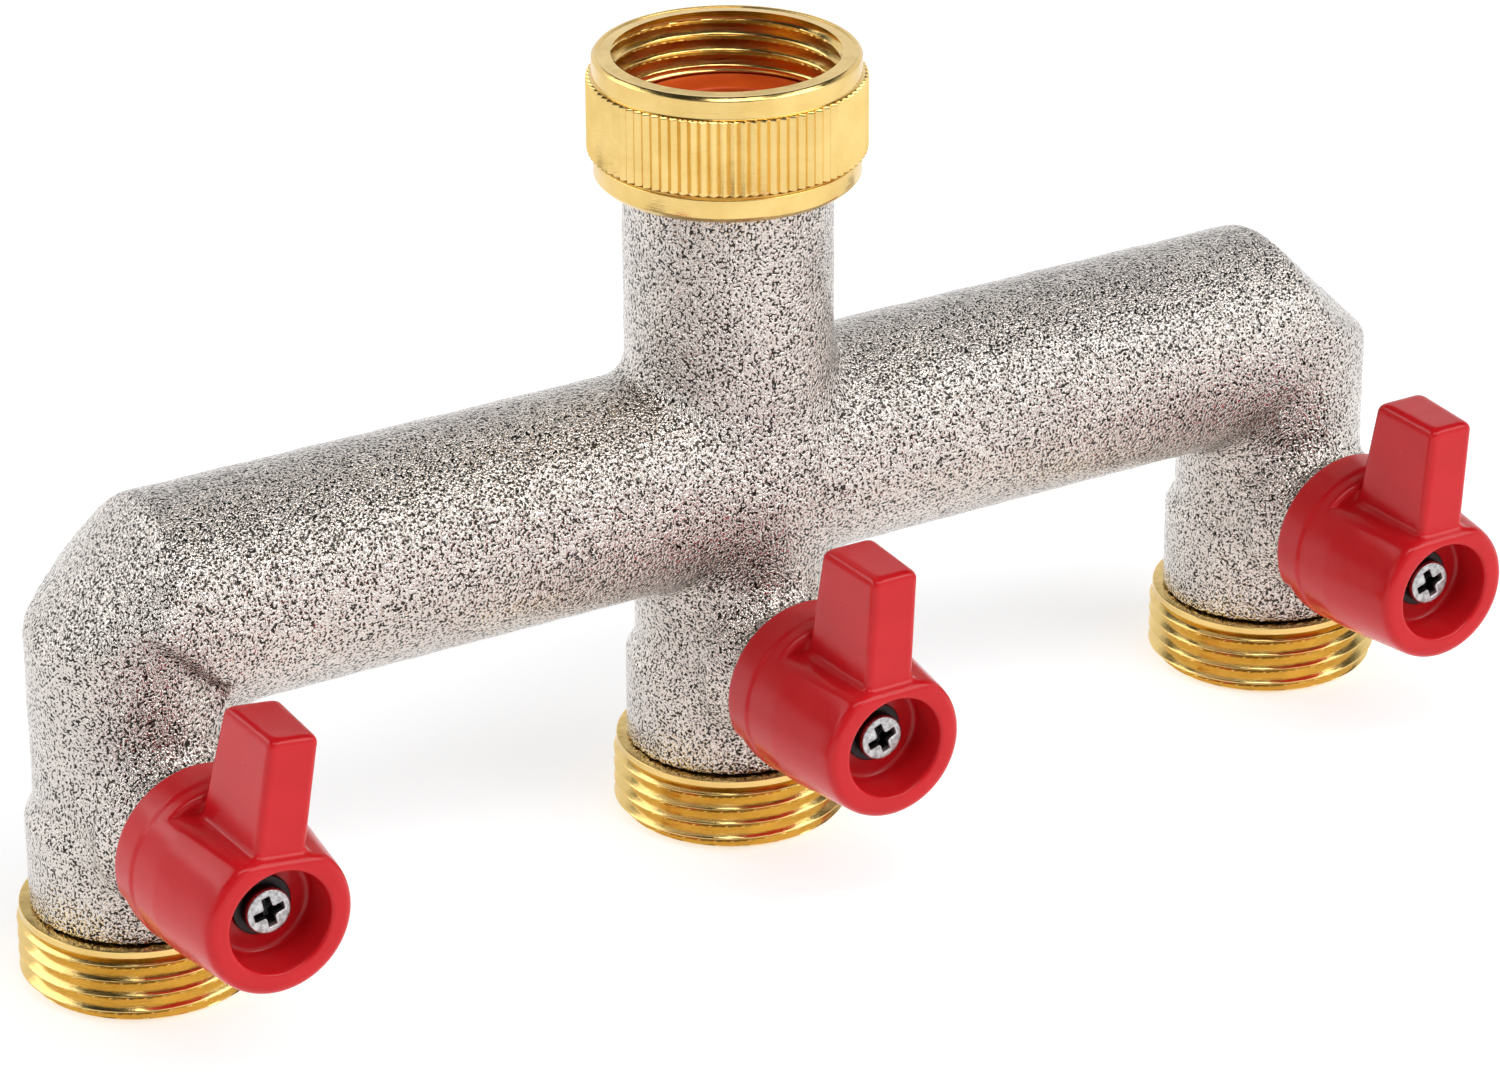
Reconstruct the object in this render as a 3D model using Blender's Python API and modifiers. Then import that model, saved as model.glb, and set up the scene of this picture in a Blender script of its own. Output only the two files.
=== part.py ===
"""Three-way hose splitter: a nickel-plated brass casting with a swivel inlet nut and three ball valves.

Metres, +Z up. It stands on its three outlets, at Z = 0. X runs along the pipe, and the handles point to -Y.
"""

from math import asin, cos, degrees, pi, radians, sin

import bmesh
import bpy
from mathutils import Vector

# Driving dimensions of the casting
OUTLET_SPACING = 0.0727
PIPE_Z = 0.0416
PIPE_RADIUS = 0.0122
NECK_RADIUS = 0.0114
NECK_TOP_Z = 0.0746
LEG_RADIUS = 0.01065
LEG_BOTTOM_Z = 0.0088
COLLAR_RADIUS = 0.0117
COLLAR_TOP_Z = 0.0186
COLLAR_CHAMFER_TOP_Z = 0.0208
ELBOW_OUTER_SUM = 0.1237  # |x| + z along the slanted outside of each elbow
WATERWAY_RADIUS = 0.0095
LEG_WATERWAY_RADIUS = 0.0078
LEG_WATERWAY_BOTTOM = 0.0112  # above the valve's centre
VALVE_Z = 0.0212

# Standard G 3/4 hose thread, 14 threads to the inch
THREAD_RADIUS = 0.01322
THREAD_ROOT_RADIUS = 0.01206
THREAD_PITCH = 0.001814

# Inlet
NUT_BOTTOM_Z = 0.0750
NUT_FLANGE_TOP_Z = 0.0768
NUT_TOP_Z = 0.0891
NUT_RADIUS = 0.01504
NUT_LIP_RADIUS = 0.0144
NUT_INSIDE_RADIUS = 0.0123
NUT_MOUTH_RADIUS = 0.0134
NUT_CHAMFER = 0.0006
NUT_LEAD = 0.0013  # from the nut's top down to its first thread crest
KNURL_BOTTOM_Z = 0.0782
KNURL_TOP_Z = 0.0866
TAILPIECE_RADIUS = 0.0090
TAILPIECE_BORE_RADIUS = 0.0072
TAILPIECE_BOTTOM_Z = 0.0643
TAILPIECE_TOP_Z = 0.0790
TAILPIECE_FLANGE_RADIUS = 0.0117
TAILPIECE_FLANGE_BOTTOM_Z = 0.0771
TAILPIECE_RING_Z = 0.0691
INLET_SHOULDER_Z = 0.0640
INLET_BORE_RADIUS = 0.0084
WASHER_RADIUS = 0.0119
WASHER_HOLE_RADIUS = 0.0076
WASHER_BOTTOM_Z = 0.0791
WASHER_TOP_Z = 0.0821

# Outlets
OUTLET_BAND_RADIUS = 0.0129
OUTLET_FOOT_RADIUS = 0.0118
OUTLET_BORE_RADIUS = 0.0086
OUTLET_BORE_TOP_Z = 0.0070
PORT_BOTTOM_Z = 0.0088
SPIGOT_RADIUS = 0.0093
SPIGOT_TOP_Z = 0.0126
PORT_RADIUS = 0.0056  # the narrowest part of the waterway, above and below the ball
CRESTS = 4
TOP_CREST_Z = 0.0068
OUTLET_RING_Z = 0.00945

# Valves: forward distances are measured from the ball's centre towards -Y
BALL_RADIUS = 0.0083
BALL_BORE_RADIUS = 0.0050
BALL_SLOT_FLOOR = 0.0060
BALL_SLOT_HALF_HEIGHT = 0.00155
SEAT_GAP = 0.00018
SEAT_RADIUS = 0.0085
SEAT_TOP = 0.0083
CHAMBER_RADIUS = 0.00875
CHAMBER_HALF_HEIGHT = 0.0085
CHAMBER_PORT_TOP = 0.0128
SPIGOT_BORE_RADIUS = 0.0096
SPIGOT_BORE_TOP = -0.0082
RING_BORE_RADIUS = 0.0109
RING_BORE_DEPTH = 0.0017
BOSS_BASE_RADIUS = 0.0090
BOSS_BASE_FRONT = 0.0098
BOSS_BODY_RADIUS = 0.0076
BOSS_BODY_BACK = 0.0122
BOSS_BODY_FRONT = 0.0138
BOSS_NOSE_RADIUS = 0.0067
BOSS_NOSE_BACK = 0.0146
BOSS_FRONT = 0.0180
STOP_LUG_CORNERS = ((-0.0012, -0.0178, 0.0060), (0.0012, -0.0158, 0.0076))
FORM_BACK = 0.0060  # hidden back ends of the boss and of its bore, inside the ball chamber

# Stem
STEM_RADIUS = 0.0030
STEM_FRONT = 0.0186
STEM_BORE_RADIUS = 0.00308
STEM_GROOVE_RADIUS = 0.00212
STEM_GROOVES = ((0.0146, 0.0158), (0.0122, 0.0134))
STEM_RINGS = (("inner", 0.0128), ("outer", 0.0152))
FLANGE_RADIUS = 0.0040
FLANGE_BACK = 0.0086
FLANGE_FRONT = 0.0099
FLANGE_BORE_RADIUS = 0.0042
FLANGE_BORE_FRONT = 0.0106
TANG_HALF_WIDTH = 0.0036
TANG_HALF_HEIGHT = 0.00145
SQUARE_HALF_WIDTH = 0.0021
TANG_BACK = 0.0063
SQUARE_FRONT = 0.0258
TAPPING_RADIUS = 0.00135
TAPPING_END = 0.0190
THRUST_WASHER_SPAN = (0.0100, 0.0105)
THRUST_WASHER_HOLE_RADIUS = 0.0031

# Handle
HANDLE_BACK = 0.0153
HANDLE_FRONT = 0.0344
HANDLE_OUTSIDE = [  # (radius, forward distance) from the front rim back to the skirt
    (0.0076, HANDLE_FRONT),
    (0.0081, 0.0338),
    (0.0083, 0.0326),
    (0.00875, 0.0285),
    (0.0093, 0.0240),
    (0.0095, 0.0197),
    (0.0097, 0.0193),
    (0.0096, 0.0157),
    (0.0094, HANDLE_BACK),
]
HANDLE_CAVITY_RADIUS = 0.00795
HANDLE_CAVITY_FLOOR = 0.0203
HANDLE_RECESS_RADIUS = 0.0056
HANDLE_RECESS_FLOOR = 0.0293
SOCKET_HALF_WIDTH = 0.00225
SOCKET_FLOOR = 0.0262
SCREW_HOLE_RADIUS = 0.0015
LAND_HEIGHT = 0.0070
LAND_BACK = 0.0214
WING_HALF_WIDTH = 0.0028
WING_BACK_WIDENING = 1.12
WING_FOOT_NARROWING = 0.95
WING_FOOT = 0.0062
WING_FRONT = 0.0344
WING_FOOT_FRONT = 0.0332
WING_FOOT_BACK = 0.0214
WING_TOP_BACK = 0.0244
WING_TOP = 0.0202
STOP_RIB_TURNS = (21.3, -111.3)  # degrees clockwise from the wing
STOP_RIB_CORNERS = ((-0.0011, -0.0206, 0.0070), (0.0011, -0.0157, 0.0085))
NOTCH_TURN = -135.0
NOTCH_CORNERS = ((-0.0042, -0.0172, 0.0091), (0.0042, -0.0140, 0.0120))

# Handle screw
HEAD_RADIUS = 0.00250
HEAD_FRONT = 0.0318
HEAD_BACK = 0.0301
HEAD_WASHER_SPAN = (0.0294, 0.0300)
SHANK_RADIUS = 0.00125
SHANK_END = 0.0206
CROSS_HALF_LENGTH = 0.0015
CROSS_HALF_WIDTH = 0.0004
CROSS_FLOOR = 0.0308
CROSS_TURN = -20.0

TOUCH_GAP = 0.0003
EDGE = 0.0004  # small chamfers
OVERCUT = 0.0010  # how far a cutter runs past the face that it opens
LEFT_VALVE_TURN = 7.0  # degrees that the left valve stands from fully open
VALVES = (("left", -1, LEFT_VALVE_TURN), ("middle", 0, 0.0), ("right", 1, 0.0))

FINE_STEPS = 36
MEDIUM_STEPS = 24
COARSE_STEPS = 16
SMALL_STEPS = 12

# The pipe's plane in Y: it puts the middle of the whole object's depth at Y = 0
AXIS_Y = (WING_FRONT - NUT_RADIUS) / 2


def clear_scene():
    for obj in list(bpy.data.objects):
        bpy.data.objects.remove(obj, do_unlink=True)


def collection(name):
    group = bpy.data.collections.new(name)
    bpy.context.scene.collection.children.link(group)
    return group


def material(name, colour, roughness, metallic):
    mat = bpy.data.materials.new(name)
    mat.use_nodes = True
    shader = mat.node_tree.nodes["Principled BSDF"]
    shader.inputs["Base Color"].default_value = (*colour, 1.0)
    shader.inputs["Roughness"].default_value = roughness
    shader.inputs["Metallic"].default_value = metallic
    return mat


clear_scene()
PARTS = collection("hose_splitter")
CUTTERS = collection("cutters")
NICKEL = (0.60, 0.57, 0.53), 0.38, 1.0
BRASS = (0.83, 0.60, 0.24), 0.22, 1.0
STEEL = (0.72, 0.72, 0.72), 0.25, 1.0
RED = (0.62, 0.02, 0.03), 0.25, 0.0
ORANGE_RUBBER = (0.80, 0.13, 0.03), 0.55, 0.0
BLACK_RUBBER = (0.02, 0.02, 0.02), 0.60, 0.0
PTFE = (0.86, 0.86, 0.84), 0.45, 0.0


def empty(name, location, parent=None, turn=0.0):
    obj = bpy.data.objects.new(name, None)
    PARTS.objects.link(obj)
    obj.location = location
    obj.rotation_euler = (0.0, radians(turn), 0.0)
    obj.parent = parent
    return obj


def add_object(name, mesh, parent, finish):
    """A part with its material, or a hidden cutter when finish is None."""
    obj = bpy.data.objects.new(name, mesh)
    obj.parent = parent
    if finish is None:
        CUTTERS.objects.link(obj)
        obj.hide_render = True
        obj.display_type = "WIRE"
    else:
        PARTS.objects.link(obj)
        mesh.materials.append(material(name, *finish))
    return obj


def turned(name, profile, steps, parent, finish=None, forward=False, closed=True):
    """A turned solid. The profile is (radius, height) pairs, down the outside first.

    An open profile starts and ends on the axis. A forward part has its height along -Y.
    """
    mesh = bpy.data.meshes.new(name)
    points = [(radius, 0.0, height) for radius, height in profile]
    edges = [(i, i + 1) for i in range(len(points) - 1)]
    if closed:
        edges.append((len(points) - 1, 0))
    mesh.from_pydata(points, edges, [])
    obj = add_object(name, mesh, parent, finish)
    if forward:
        obj.rotation_euler = (pi / 2, 0.0, 0.0)
    screw = obj.modifiers.new("turn", "SCREW")
    screw.axis = "Z"
    screw.steps = steps
    screw.render_steps = steps
    screw.use_merge_vertices = True
    screw.merge_threshold = 0.00001
    return obj


def block(name, low, high, parent, finish=None):
    """A box between two corners."""
    mesh = bpy.data.meshes.new(name)
    shape = bmesh.new()
    bmesh.ops.create_cube(shape, size=1.0)
    middle = (Vector(low) + Vector(high)) / 2
    side = Vector(high) - Vector(low)
    for vert in shape.verts:
        vert.co = middle + Vector([unit * length for unit, length in zip(vert.co, side)])
    shape.to_mesh(mesh)
    shape.free()
    return add_object(name, mesh, parent, finish)


def boolean(obj, other, operation, solver):
    modifier = obj.modifiers.new(other.name, "BOOLEAN")
    modifier.operation = operation
    modifier.solver = solver
    modifier.object = other


def join(obj, *others, solver="EXACT"):
    for other in others:
        boolean(obj, other, "UNION", solver)


def cut(obj, *others, solver="EXACT"):
    for other in others:
        boolean(obj, other, "DIFFERENCE", solver)


def bevel(obj, width, segments):
    modifier = obj.modifiers.new("edges", "BEVEL")
    modifier.width = width
    modifier.segments = segments
    modifier.limit_method = "ANGLE"
    modifier.angle_limit = radians(40)


def torus(name, radius, thickness, height, steps, parent, finish, forward=False):
    """An O-ring: radius to the middle of its section, height along its axis."""
    bpy.ops.mesh.primitive_torus_add(
        major_radius=radius,
        minor_radius=thickness / 2,
        major_segments=steps,
        minor_segments=6,
    )
    made = bpy.context.active_object
    mesh = made.data
    mesh.name = name
    bpy.data.objects.remove(made, do_unlink=True)
    mesh.shade_smooth()
    obj = add_object(name, mesh, parent, finish)
    if forward:
        obj.rotation_euler = (pi / 2, 0.0, 0.0)
        obj.location = (0.0, -height, 0.0)
    else:
        obj.location = (0.0, 0.0, height)
    return obj


def arc(radius, start, end, count):
    """(radius, height) points on a circle about the origin, by angle from the axis in degrees."""
    angles = [radians(start + (end - start) * i / (count - 1)) for i in range(count)]
    return [(radius * sin(angle), radius * cos(angle)) for angle in angles]


def thread_ridges(first, count, crest_radius, root_radius):
    """Ring-shaped stand-ins for a thread, downwards from a crest at height first to a root."""
    points = []
    for i in range(count):
        height = first - i * THREAD_PITCH
        points.append((crest_radius, height))
        points.append((root_radius, height - THREAD_PITCH / 2))
    return points


def section(centre, tangents, radius, steps):
    """A ring across a run at a mitre between two tangents, which are equal on a straight stretch."""
    along = (tangents[0] + tangents[1]).normalized()
    stretch = 1 / along.dot(tangents[0])
    outward = Vector((-along.z, 0.0, along.x))
    ring = []
    for i in range(steps):
        angle = 2 * pi * i / steps
        offset = Vector((0.0, radius * cos(angle), 0.0)) + outward * radius * stretch * sin(angle)
        ring.append(centre + offset)
    return ring


def loft(name, rings, parent, finish=None):
    """A closed solid through rings that have the same number of points."""
    mesh = bpy.data.meshes.new(name)
    shape = bmesh.new()
    loops = [[shape.verts.new(point) for point in ring] for ring in rings]
    count = len(loops[0])
    for lower, upper in zip(loops, loops[1:]):
        for i in range(count):
            after = (i + 1) % count
            shape.faces.new((lower[i], lower[after], upper[after], upper[i]))
    shape.faces.new(loops[0])
    shape.faces.new(loops[-1])
    bmesh.ops.recalc_face_normals(shape, faces=shape.faces)
    shape.to_mesh(mesh)
    shape.free()
    return add_object(name, mesh, parent, finish)


def manifold_run(name, leg_stations, leg_mitre_radius, pipe_radius, steps, parent, finish=None):
    """Left leg, elbow, pipe, elbow and right leg as one run with mitred corners.

    leg_stations are (height, radius) pairs up the leg, below its mitre.
    """
    up = Vector((0.0, 0.0, 1.0))
    right = Vector((1.0, 0.0, 0.0))
    mitre_reach = sin(pi / 8) / cos(pi / 8)
    leg_mitre_z = ELBOW_OUTER_SUM - OUTLET_SPACING - LEG_RADIUS * (1 + mitre_reach)
    pipe_mitre_x = ELBOW_OUTER_SUM - PIPE_Z - PIPE_RADIUS * (1 + mitre_reach)
    slant = Vector((1.0, 0.0, 1.0)).normalized()
    rings = []
    for height, radius in leg_stations:
        rings.append(section(Vector((-OUTLET_SPACING, 0.0, height)), (up, up), radius, steps))
    rings.append(
        section(Vector((-OUTLET_SPACING, 0.0, leg_mitre_z)), (up, slant), leg_mitre_radius, steps)
    )
    rings.append(section(Vector((-pipe_mitre_x, 0.0, PIPE_Z)), (slant, right), pipe_radius, steps))
    for ring in reversed(rings[:]):
        rings.append([Vector((-point.x, point.y, point.z)) for point in ring])
    return loft(name, rings, parent, finish)


def leg_outline():
    return [
        (LEG_BOTTOM_Z, COLLAR_RADIUS),
        (COLLAR_TOP_Z, COLLAR_RADIUS),
        (COLLAR_CHAMFER_TOP_Z, LEG_RADIUS),
    ]


def make_casting(parent):
    """The cast body: pipe, elbows, legs, neck and stem bosses, bored for the waterway and the valves."""
    body = manifold_run(
        "body_casting", leg_outline(), LEG_RADIUS, PIPE_RADIUS, FINE_STEPS, parent, NICKEL
    )
    neck = [(0.0, NECK_TOP_Z), (NECK_RADIUS, NECK_TOP_Z), (NECK_RADIUS, PIPE_Z), (0.0, PIPE_Z)]
    join(body, turned("neck_form", neck, FINE_STEPS, parent, closed=False))
    leg = [(0.0, PIPE_Z), (LEG_RADIUS, PIPE_Z)]
    leg += [(radius, height) for height, radius in reversed(leg_outline())]
    leg.append((0.0, LEG_BOTTOM_Z))
    join(body, turned("middle_leg_form", leg, FINE_STEPS, parent, closed=False))
    boss = [
        (0.0, BOSS_FRONT),
        (BOSS_NOSE_RADIUS - EDGE, BOSS_FRONT),
        (BOSS_NOSE_RADIUS, BOSS_FRONT - EDGE),
        (BOSS_NOSE_RADIUS, BOSS_NOSE_BACK),
        (BOSS_BODY_RADIUS, BOSS_BODY_FRONT),
        (BOSS_BODY_RADIUS, BOSS_BODY_BACK),
        (BOSS_BASE_RADIUS, BOSS_BASE_FRONT),
        (BOSS_BASE_RADIUS, FORM_BACK),
        (0.0, FORM_BACK),
    ]
    chamber_bottom = LEG_BOTTOM_Z - TOUCH_GAP - VALVE_Z
    chamber = [
        (0.0, CHAMBER_PORT_TOP),
        (PORT_RADIUS, CHAMBER_PORT_TOP),
        (PORT_RADIUS, CHAMBER_HALF_HEIGHT),
        (CHAMBER_RADIUS, CHAMBER_HALF_HEIGHT),
        (CHAMBER_RADIUS, SPIGOT_BORE_TOP),
        (SPIGOT_BORE_RADIUS, SPIGOT_BORE_TOP),
        (SPIGOT_BORE_RADIUS, chamber_bottom + RING_BORE_DEPTH),
        (RING_BORE_RADIUS, chamber_bottom + RING_BORE_DEPTH),
        (RING_BORE_RADIUS, chamber_bottom),
        (0.0, chamber_bottom),
    ]
    bore_back = FORM_BACK + 0.0002
    stem_bore = [
        (0.0, BOSS_FRONT + OVERCUT),
        (STEM_BORE_RADIUS, BOSS_FRONT + OVERCUT),
        (STEM_BORE_RADIUS, FLANGE_BORE_FRONT),
        (FLANGE_BORE_RADIUS, FLANGE_BORE_FRONT),
        (FLANGE_BORE_RADIUS, bore_back),
        (0.0, bore_back),
    ]
    cutters = []
    for side, place, _ in VALVES:
        centre = empty(f"{side}_valve_seat", (place * OUTLET_SPACING, 0.0, VALVE_Z), parent)
        join(body, turned(f"{side}_boss_form", boss, MEDIUM_STEPS, centre, forward=True, closed=False))
        lug = block(f"{side}_stop_lug_form", *STOP_LUG_CORNERS, centre)
        join(body, lug)
        cutters.append(turned(f"{side}_chamber", chamber, MEDIUM_STEPS, centre, closed=False))
        cutters.append(
            turned(f"{side}_stem_bore", stem_bore, MEDIUM_STEPS, centre, forward=True, closed=False)
        )
    waterway = manifold_run(
        "waterway",
        [(VALVE_Z + LEG_WATERWAY_BOTTOM, LEG_WATERWAY_RADIUS)],
        LEG_WATERWAY_RADIUS,
        WATERWAY_RADIUS,
        MEDIUM_STEPS,
        parent,
    )
    inlet_bore = [
        (0.0, NECK_TOP_Z + OVERCUT),
        (TAILPIECE_RADIUS + TOUCH_GAP, NECK_TOP_Z + OVERCUT),
        (TAILPIECE_RADIUS + TOUCH_GAP, INLET_SHOULDER_Z),
        (INLET_BORE_RADIUS, INLET_SHOULDER_Z),
        (INLET_BORE_RADIUS, PIPE_Z),
        (0.0, PIPE_Z),
    ]
    cutters.append(turned("inlet_bore", inlet_bore, MEDIUM_STEPS, parent, closed=False))
    # EXACT leaves open edges where this many bores meet in one body
    cut(body, waterway, *cutters, solver="MANIFOLD")


def make_nut(parent):
    """The swivel nut. Its inward flange at the bottom hangs on the tailpiece."""
    ridges = thread_ridges(NUT_TOP_Z - NUT_LEAD, CRESTS, THREAD_ROOT_RADIUS, THREAD_RADIUS)[:-1]
    profile = [
        (NUT_MOUTH_RADIUS, NUT_TOP_Z),
        (NUT_LIP_RADIUS - EDGE, NUT_TOP_Z),
        (NUT_LIP_RADIUS, NUT_TOP_Z - EDGE),
        (NUT_LIP_RADIUS, KNURL_TOP_Z + 0.0003),
        (NUT_RADIUS, KNURL_TOP_Z),
        (NUT_RADIUS, KNURL_BOTTOM_Z),
        (NUT_LIP_RADIUS, KNURL_BOTTOM_Z - 0.0003),
        (NUT_LIP_RADIUS, NUT_BOTTOM_Z + NUT_CHAMFER),
        (NUT_LIP_RADIUS - NUT_CHAMFER, NUT_BOTTOM_Z),
        (TAILPIECE_RADIUS + TOUCH_GAP, NUT_BOTTOM_Z),
        (TAILPIECE_RADIUS + TOUCH_GAP, NUT_FLANGE_TOP_Z),
        (NUT_INSIDE_RADIUS, NUT_FLANGE_TOP_Z),
        (NUT_INSIDE_RADIUS, WASHER_TOP_Z - 0.0001),
    ]
    profile += ridges[::-1]
    turned("swivel_nut", profile, FINE_STEPS, parent, BRASS)


def make_tailpiece(parent):
    """The flanged tube in the neck that the nut turns on, with its O-ring and the hose washer."""
    groove_radius = TAILPIECE_RADIUS - 0.0008
    profile = [
        (TAILPIECE_FLANGE_RADIUS, TAILPIECE_TOP_Z),
        (TAILPIECE_FLANGE_RADIUS, TAILPIECE_FLANGE_BOTTOM_Z),
        (TAILPIECE_RADIUS, TAILPIECE_FLANGE_BOTTOM_Z),
        (TAILPIECE_RADIUS, TAILPIECE_RING_Z + 0.0009),
        (groove_radius, TAILPIECE_RING_Z + 0.0009),
        (groove_radius, TAILPIECE_RING_Z - 0.0009),
        (TAILPIECE_RADIUS, TAILPIECE_RING_Z - 0.0009),
        (TAILPIECE_RADIUS, TAILPIECE_BOTTOM_Z),
        (TAILPIECE_BORE_RADIUS, TAILPIECE_BOTTOM_Z),
        (TAILPIECE_BORE_RADIUS, TAILPIECE_TOP_Z),
    ]
    turned("inlet_tailpiece", profile, MEDIUM_STEPS, parent, BRASS)
    torus(
        "tailpiece_o_ring", 0.00875, 0.0010, TAILPIECE_RING_Z, MEDIUM_STEPS, parent, BLACK_RUBBER
    )
    washer = [
        (WASHER_RADIUS, WASHER_TOP_Z),
        (WASHER_RADIUS, WASHER_BOTTOM_Z),
        (WASHER_HOLE_RADIUS, WASHER_BOTTOM_Z),
        (WASHER_HOLE_RADIUS, WASHER_TOP_Z),
    ]
    turned("inlet_washer", washer, MEDIUM_STEPS, parent, ORANGE_RUBBER)


def make_outlet(side, centre_x, parent):
    """The threaded outlet end. It screws up into the leg and holds the ball and its seats in."""
    base = empty(f"{side}_outlet_axis", (centre_x, 0.0, 0.0), parent)
    flange_top = LEG_BOTTOM_Z - TOUCH_GAP
    profile = [
        (SPIGOT_RADIUS, SPIGOT_TOP_Z),
        (SPIGOT_RADIUS, flange_top),
        (OUTLET_BAND_RADIUS, flange_top),
        (OUTLET_BAND_RADIUS, flange_top - 0.0006),
        (THREAD_ROOT_RADIUS, flange_top - 0.0008),
    ]
    profile += thread_ridges(TOP_CREST_Z, CRESTS, THREAD_RADIUS, THREAD_ROOT_RADIUS)
    profile += [
        (OUTLET_FOOT_RADIUS, 0.0),
        (OUTLET_BORE_RADIUS, 0.0),
        (OUTLET_BORE_RADIUS, OUTLET_BORE_TOP_Z),
        (PORT_RADIUS, PORT_BOTTOM_Z),
        (PORT_RADIUS, SPIGOT_TOP_Z),
    ]
    turned(f"{side}_outlet", profile, FINE_STEPS, base, BRASS)
    torus(
        f"{side}_outlet_o_ring", 0.0102, 0.0012, OUTLET_RING_Z, MEDIUM_STEPS, base, BLACK_RUBBER
    )


def make_seats(side, centre):
    """Two ring seats, one above and one below the ball, each with a hollow of the ball's shape."""
    inner = arc(BALL_RADIUS + SEAT_GAP, 39, 61, 3)
    rim = [(SEAT_RADIUS, inner[-1][1]), (SEAT_RADIUS, SEAT_TOP), (inner[0][0], SEAT_TOP)]
    lower = [(radius, -height) for radius, height in inner + rim]
    turned(f"{side}_upper_seat", (inner + rim)[::-1], MEDIUM_STEPS, centre, PTFE)
    turned(f"{side}_lower_seat", lower, MEDIUM_STEPS, centre, PTFE)


def make_ball(side, axis):
    """The bored ball, with the slot across its front that the stem's tang turns it by."""
    bore_edge = degrees(asin(BALL_BORE_RADIUS / BALL_RADIUS))
    surface = arc(BALL_RADIUS, bore_edge, 180 - bore_edge, 9)
    ball = turned(f"{side}_ball", surface, MEDIUM_STEPS, axis, STEEL)
    low = (-0.0090, -0.0090, -BALL_SLOT_HALF_HEIGHT)
    high = (0.0090, -BALL_SLOT_FLOOR, BALL_SLOT_HALF_HEIGHT)
    cut(ball, block(f"{side}_ball_slot", low, high, axis))


def make_stem(side, axis):
    """The stem with its tang, flange, O-ring grooves and square end, its thrust washer and O-rings."""
    profile = [(0.0, STEM_FRONT), (STEM_RADIUS, STEM_FRONT)]
    for back, front in STEM_GROOVES:
        profile += [(STEM_RADIUS, front), (STEM_GROOVE_RADIUS, front)]
        profile += [(STEM_GROOVE_RADIUS, back), (STEM_RADIUS, back)]
    profile += [(STEM_RADIUS, FLANGE_FRONT), (FLANGE_RADIUS, FLANGE_FRONT)]
    profile += [(FLANGE_RADIUS, FLANGE_BACK), (0.0, FLANGE_BACK)]
    stem = turned(f"{side}_stem", profile, COARSE_STEPS, axis, BRASS, forward=True, closed=False)
    low = (-TANG_HALF_WIDTH, -FLANGE_BACK - EDGE, -TANG_HALF_HEIGHT)
    high = (TANG_HALF_WIDTH, -TANG_BACK, TANG_HALF_HEIGHT)
    tang = block(f"{side}_tang_form", low, high, axis)
    low = (-SQUARE_HALF_WIDTH, -SQUARE_FRONT, -SQUARE_HALF_WIDTH)
    high = (SQUARE_HALF_WIDTH, -BOSS_FRONT, SQUARE_HALF_WIDTH)
    square = block(f"{side}_square_form", low, high, axis)
    tapping = [
        (0.0, SQUARE_FRONT + 0.0012),
        (TAPPING_RADIUS, SQUARE_FRONT + 0.0012),
        (TAPPING_RADIUS, TAPPING_END + 0.0005),
        (0.0, TAPPING_END),
    ]
    tapped_hole = turned(f"{side}_tapping", tapping, SMALL_STEPS, axis, forward=True, closed=False)
    join(stem, tang, square)
    cut(stem, tapped_hole)
    back, front = THRUST_WASHER_SPAN
    washer = [
        (FLANGE_RADIUS, front),
        (FLANGE_RADIUS, back),
        (THRUST_WASHER_HOLE_RADIUS, back),
        (THRUST_WASHER_HOLE_RADIUS, front),
    ]
    turned(f"{side}_thrust_washer", washer, COARSE_STEPS, axis, PTFE, forward=True)
    for name, height in STEM_RINGS:
        ring = f"{side}_stem_o_ring_{name}"
        torus(ring, 0.00258, 0.00084, height, SMALL_STEPS, axis, BLACK_RUBBER, forward=True)


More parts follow.
